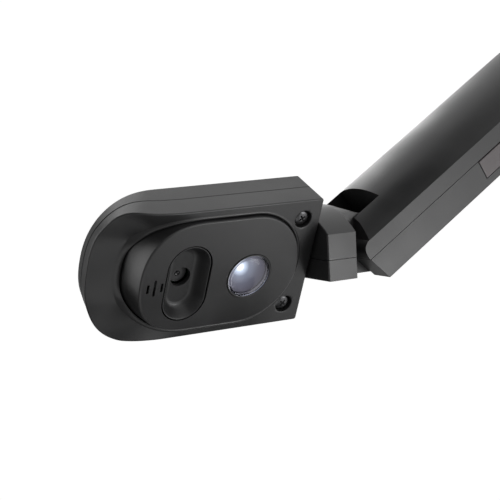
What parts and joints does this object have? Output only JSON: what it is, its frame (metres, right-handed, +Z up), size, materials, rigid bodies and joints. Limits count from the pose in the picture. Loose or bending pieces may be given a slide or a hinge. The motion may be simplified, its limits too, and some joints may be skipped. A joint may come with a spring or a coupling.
{
  "type": "book scanner",
  "caption": "Folding book scanner: weighted base with keys, telescopic column, tilting neck and rolling head that carries a camera in a well, a round work light and a microphone.",
  "frame": {"origin": "middle of the rubber sole, on the desk", "axes": "+Z up; -Y towards the rounded front of the base, where the page lies; +X is the side that carries the side key"},
  "size_m": [0.112, 0.2355, 0.3815],
  "materials": {
    "black_shell": "satin moulded black, fine grain",
    "grey_shell": "satin moulded charcoal, fine grain",
    "dark_key": "satin reddish grey key",
    "clear_lens": "clear polished lens",
    "steel": "plain turned steel",
    "black_steel": "glossy black coated steel",
    "aluminium": "drawn and brushed",
    "rubber": "matt rubber with fine ribs",
    "board": "green circuit board lacquer",
    "lamp": "diffusing, warm white",
    "white_part": "natural acetal"
  },
  "bodies": {
    "base": {"base_top_cover": "black_shell", "base_bottom_shell": "black_shell", "rubber_sole": "rubber", "base_weight": "steel", "button_board": "board", "port_board": "board", "usb_port": "steel", "status_light": "lamp", "fold_pin": "steel", "fold_cap_left": "dark_key", "fold_cap_right": "dark_key", "base_screw_1": "black_steel", "base_screw_2": "black_steel", "base_screw_3": "black_steel", "base_screw_4": "black_steel"},
    "capture_button": {"capture_button": "dark_key"},
    "light_button": {"light_button": "dark_key"},
    "column": {"column_tube": "aluminium", "column_cap": "white_part", "column_foot": "black_shell"},
    "sleeve": {"sleeve_front_shell": "grey_shell", "sleeve_rear_shell": "black_shell", "sleeve_collar": "black_shell", "sleeve_screw_1": "black_steel", "sleeve_screw_2": "black_steel", "neck_pin": "steel", "friction_washer_left": "steel", "friction_washer_right": "steel", "key_board": "board"},
    "side_key": {"side_key": "dark_key"},
    "neck": {"neck_body": "grey_shell", "neck_cover": "grey_shell", "hinge_bush": "steel", "roll_bush": "steel", "neck_screw_1": "black_steel", "neck_screw_2": "black_steel"},
    "head": {"head_back_cover": "black_shell", "head_front_shell": "black_shell", "camera_pad": "black_shell", "lens_well": "black_shell", "camera_board": "board", "camera_barrel": "black_steel", "camera_lens_glass": "clear_lens", "light_board": "board", "light_emitter": "lamp", "light_bezel": "black_shell", "light_lens": "clear_lens", "microphone": "steel", "head_screw_1": "black_steel", "head_screw_2": "black_steel", "roll_spindle": "steel", "roll_nut": "steel"}
  },
  "joints": [
    {"name": "base_fold", "type": "hinge", "parent": "base", "child": "column", "pos_m": [0, 0.066, 0.03], "axis": [1, 0, 0], "range_deg": [0, 90]},
    {"name": "height_slide", "type": "slide", "parent": "column", "child": "sleeve", "axis": [0, 0, 1], "range_m": [0, 0.1]},
    {"name": "neck_tilt", "type": "hinge", "parent": "sleeve", "child": "neck", "pos_m": [0, 0.066, 0.285], "axis": [1, 0, 0], "range_deg": [-38, 121]},
    {"name": "head_roll", "type": "hinge", "parent": "neck", "child": "head", "pos_m": [0, 0.08345, 0.30597], "axis": [0, 0.5234, 0.8521], "range_deg": [-154, 26]},
    {"name": "side_key_press", "type": "slide", "parent": "sleeve", "child": "side_key", "axis": [-1, 0, 0], "range_m": [0, 0.0006], "stiffness_N_per_m": 800, "springref_m": -0.0006},
    {"name": "capture_button_press", "type": "slide", "parent": "base", "child": "capture_button", "axis": [0, 0, -1], "range_m": [0, 0.001], "stiffness_N_per_m": 800, "springref_m": -0.0006},
    {"name": "light_button_press", "type": "slide", "parent": "base", "child": "light_button", "axis": [0, 0, -1], "range_m": [0, 0.001], "stiffness_N_per_m": 800, "springref_m": -0.0006}
  ]
}
